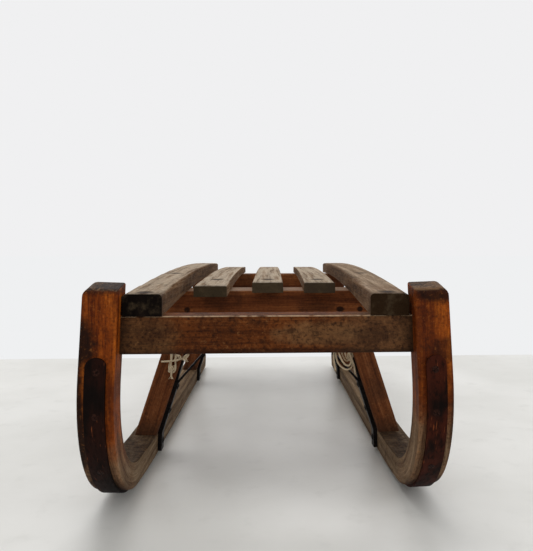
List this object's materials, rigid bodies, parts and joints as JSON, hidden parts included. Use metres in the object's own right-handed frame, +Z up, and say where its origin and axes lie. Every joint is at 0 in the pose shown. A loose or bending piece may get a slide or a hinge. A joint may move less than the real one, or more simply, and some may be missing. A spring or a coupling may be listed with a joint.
{
  "type": "wooden sled",
  "caption": "Low wooden sled with bent runners shod in steel, splayed legs, cross beams, a slatted seat and forked flat-iron braces, worn from long use.",
  "frame": {"origin": "on the floor, under the middle of the sled's box", "axes": "+Z up; the sled travels towards -Y; +X is the rider's left"},
  "size_m": [0.3416, 0.8, 0.2335],
  "materials": {
    "runner_wood": "worn varnish",
    "leg_wood": "worn varnish",
    "beam_wood": "worn varnish",
    "slat_wood": "weathered, dry",
    "shoe_steel": "old dark paint",
    "brace_iron": "dull black",
    "twine": "matte"
  },
  "bodies": {
    "root": {"runner_left": "runner_wood", "shoe_left": "shoe_steel", "leg_front_left": "leg_wood", "leg_rear_left": "leg_wood", "brace_front_outer_left": "brace_iron", "brace_front_inner_left": "brace_iron", "brace_rear_outer_left": "brace_iron", "brace_rear_inner_left": "brace_iron", "slat_outer_left": "slat_wood", "runner_right": "runner_wood", "shoe_right": "shoe_steel", "leg_front_right": "leg_wood", "leg_rear_right": "leg_wood", "brace_front_outer_right": "brace_iron", "brace_front_inner_right": "brace_iron", "brace_rear_outer_right": "brace_iron", "brace_rear_inner_right": "brace_iron", "slat_outer_right": "slat_wood", "slat_inner_left": "slat_wood", "slat_inner_middle": "slat_wood", "slat_inner_right": "slat_wood", "front_bar": "beam_wood", "beam_front": "beam_wood", "beam_rear": "beam_wood", "twine_left_end": "twine", "twine_left_high": "twine", "twine_left_inner": "twine", "twine_left_low": "twine", "twine_left_middle": "twine", "twine_left_tail": "twine", "twine_right_frayed": "twine", "twine_right_loop": "twine", "twine_right_stub": "twine"}
  },
  "joints": []
}
